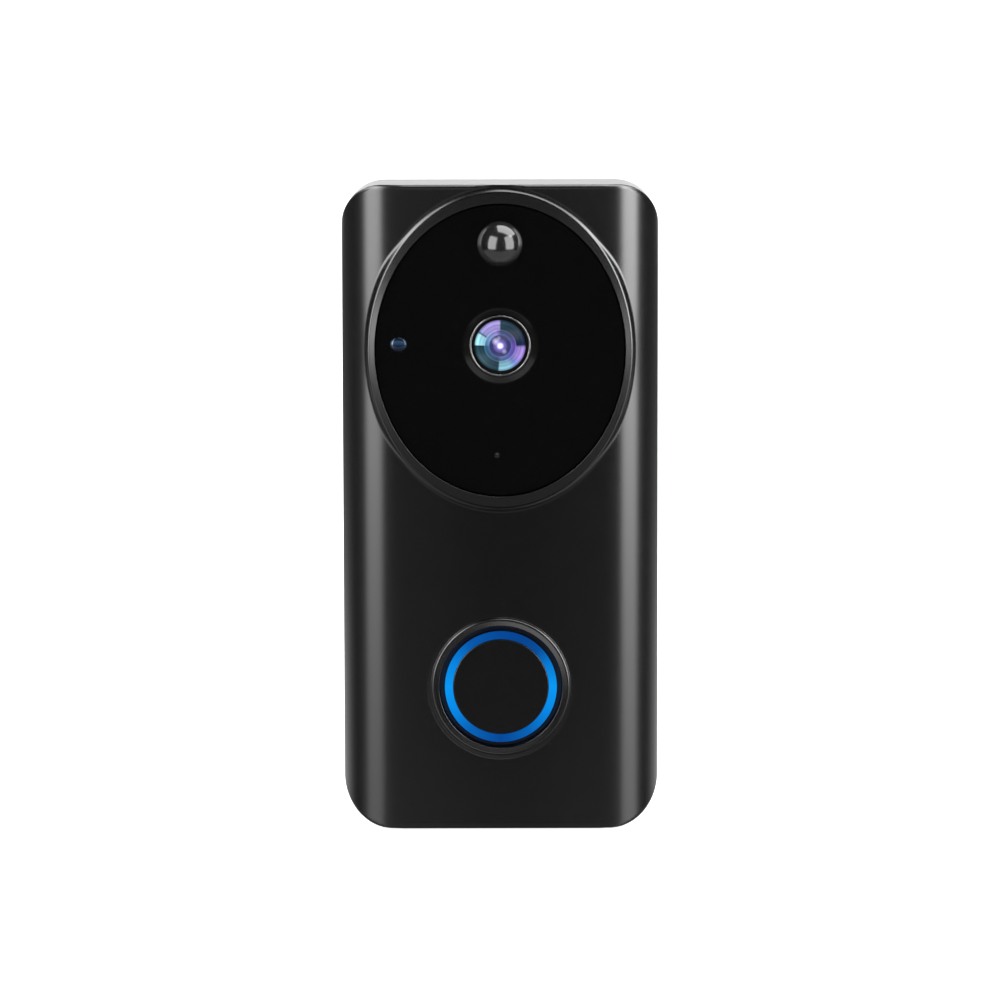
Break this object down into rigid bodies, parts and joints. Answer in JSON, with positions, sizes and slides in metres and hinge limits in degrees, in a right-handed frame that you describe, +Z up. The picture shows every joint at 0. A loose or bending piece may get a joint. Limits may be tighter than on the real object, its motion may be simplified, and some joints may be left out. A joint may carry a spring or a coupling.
{
  "type": "video doorbell",
  "caption": "Battery video doorbell with an oval glass head, a lens, a motion dome and a ringed round button, hung on a slide-on wall bracket.",
  "frame": {"origin": "centre of the bracket's wall screw pattern, on the wall plane", "axes": "+Z up, +X to the right seen from the front, the front faces -Y and the wall is on the +Y side"},
  "size_m": [0.0664, 0.0346, 0.135],
  "materials": {
    "case_black": "satin",
    "ring_black": "gloss",
    "bracket_black": "matte",
    "window_gloss": "gloss",
    "dome_dark": "gloss",
    "lens_coating": "gloss",
    "trim_metal": "polished",
    "lens_black": "matte",
    "window_blue": "gloss",
    "cap_black": "satin",
    "lit_blue": "glowing",
    "steel": "satin",
    "nickel": "satin",
    "brass": "satin",
    "rubber_black": "matte",
    "silicone": "matte",
    "foam_tape": "matte",
    "board_green": "satin",
    "board_black": "satin",
    "chip_black": "matte",
    "filter_tint": "gloss",
    "led_clear": "gloss",
    "white_plastic": "satin",
    "flex_amber": "satin",
    "cable_grey": "matte",
    "speaker_black": "matte",
    "cone_grey": "matte",
    "mesh_cloth": "matte",
    "tray_grey": "satin",
    "cell_wrap": "satin"
  },
  "bodies": {
    "bracket": {"wall_bracket": "bracket_black", "security_screw": "steel"},
    "bell": {"front_shell": "case_black", "rear_shell": "case_black", "shell_seal": "rubber_black", "case_screws": "steel", "screw_insert": "brass", "head_ring": "ring_black", "front_panel": "window_gloss", "panel_adhesive": "foam_tape", "lens_trim_ring": "trim_metal", "front_lens": "lens_coating", "inner_lens": "lens_coating", "lens_barrel": "lens_black", "lens_holder": "lens_black", "ir_cut_filter": "filter_tint", "image_sensor": "chip_black", "camera_board": "board_green", "camera_flex": "flex_amber", "pir_dome": "dome_dark", "pir_sensor": "nickel", "sensor_window": "window_blue", "light_sensor": "led_clear", "head_board": "board_black", "ir_leds": "led_clear", "mic_board": "board_black", "microphone": "nickel", "mic_boot": "rubber_black", "main_board": "board_green", "main_chips": "chip_black", "shield_can": "steel", "main_connectors": "white_plastic", "wifi_antenna": "flex_amber", "antenna_cable": "cable_grey", "speaker_frame": "speaker_black", "speaker_cone": "cone_grey", "speaker_magnet": "nickel", "speaker_gasket": "rubber_black", "speaker_mesh": "mesh_cloth", "button_seal": "silicone", "button_board": "board_black", "button_leds": "led_clear", "tact_switch": "chip_black", "button_ribbon": "flex_amber", "battery_tray": "tray_grey", "battery_left": "cell_wrap", "battery_right": "cell_wrap", "battery_springs": "nickel", "battery_contacts": "nickel", "battery_door": "bracket_black", "battery_door_seal": "rubber_black", "charge_board": "board_green", "usb_socket": "steel", "reset_switch": "chip_black", "board_screws": "steel"},
    "button": {"button_cap": "cap_black", "button_light_ring": "lit_blue", "switch_plunger": "white_plastic"},
    "reset": {"reset_button": "white_plastic"},
    "cover": {"usb_cover": "rubber_black"}
  },
  "joints": [
    {"name": "bell_lift", "type": "slide", "parent": "bracket", "child": "bell", "axis": [0, 0, 1], "range_m": [0, 0.0045]},
    {"name": "button_press", "type": "slide", "parent": "bell", "child": "button", "axis": [0, 1, 0], "range_m": [0, 0.0005], "stiffness_N_per_m": 2000, "springref_m": -0.0005, "deforming": ["button_seal"]},
    {"name": "reset_press", "type": "slide", "parent": "bell", "child": "reset", "axis": [0, 0, 1], "range_m": [0, 0.0004], "stiffness_N_per_m": 1500, "springref_m": -0.0003},
    {"name": "cover_hinge", "type": "hinge", "parent": "bell", "child": "cover", "pos_m": [-0.0153, -0.0044, -0.06675], "axis": [1, 0, 0], "range_deg": [0, 95]}
  ]
}
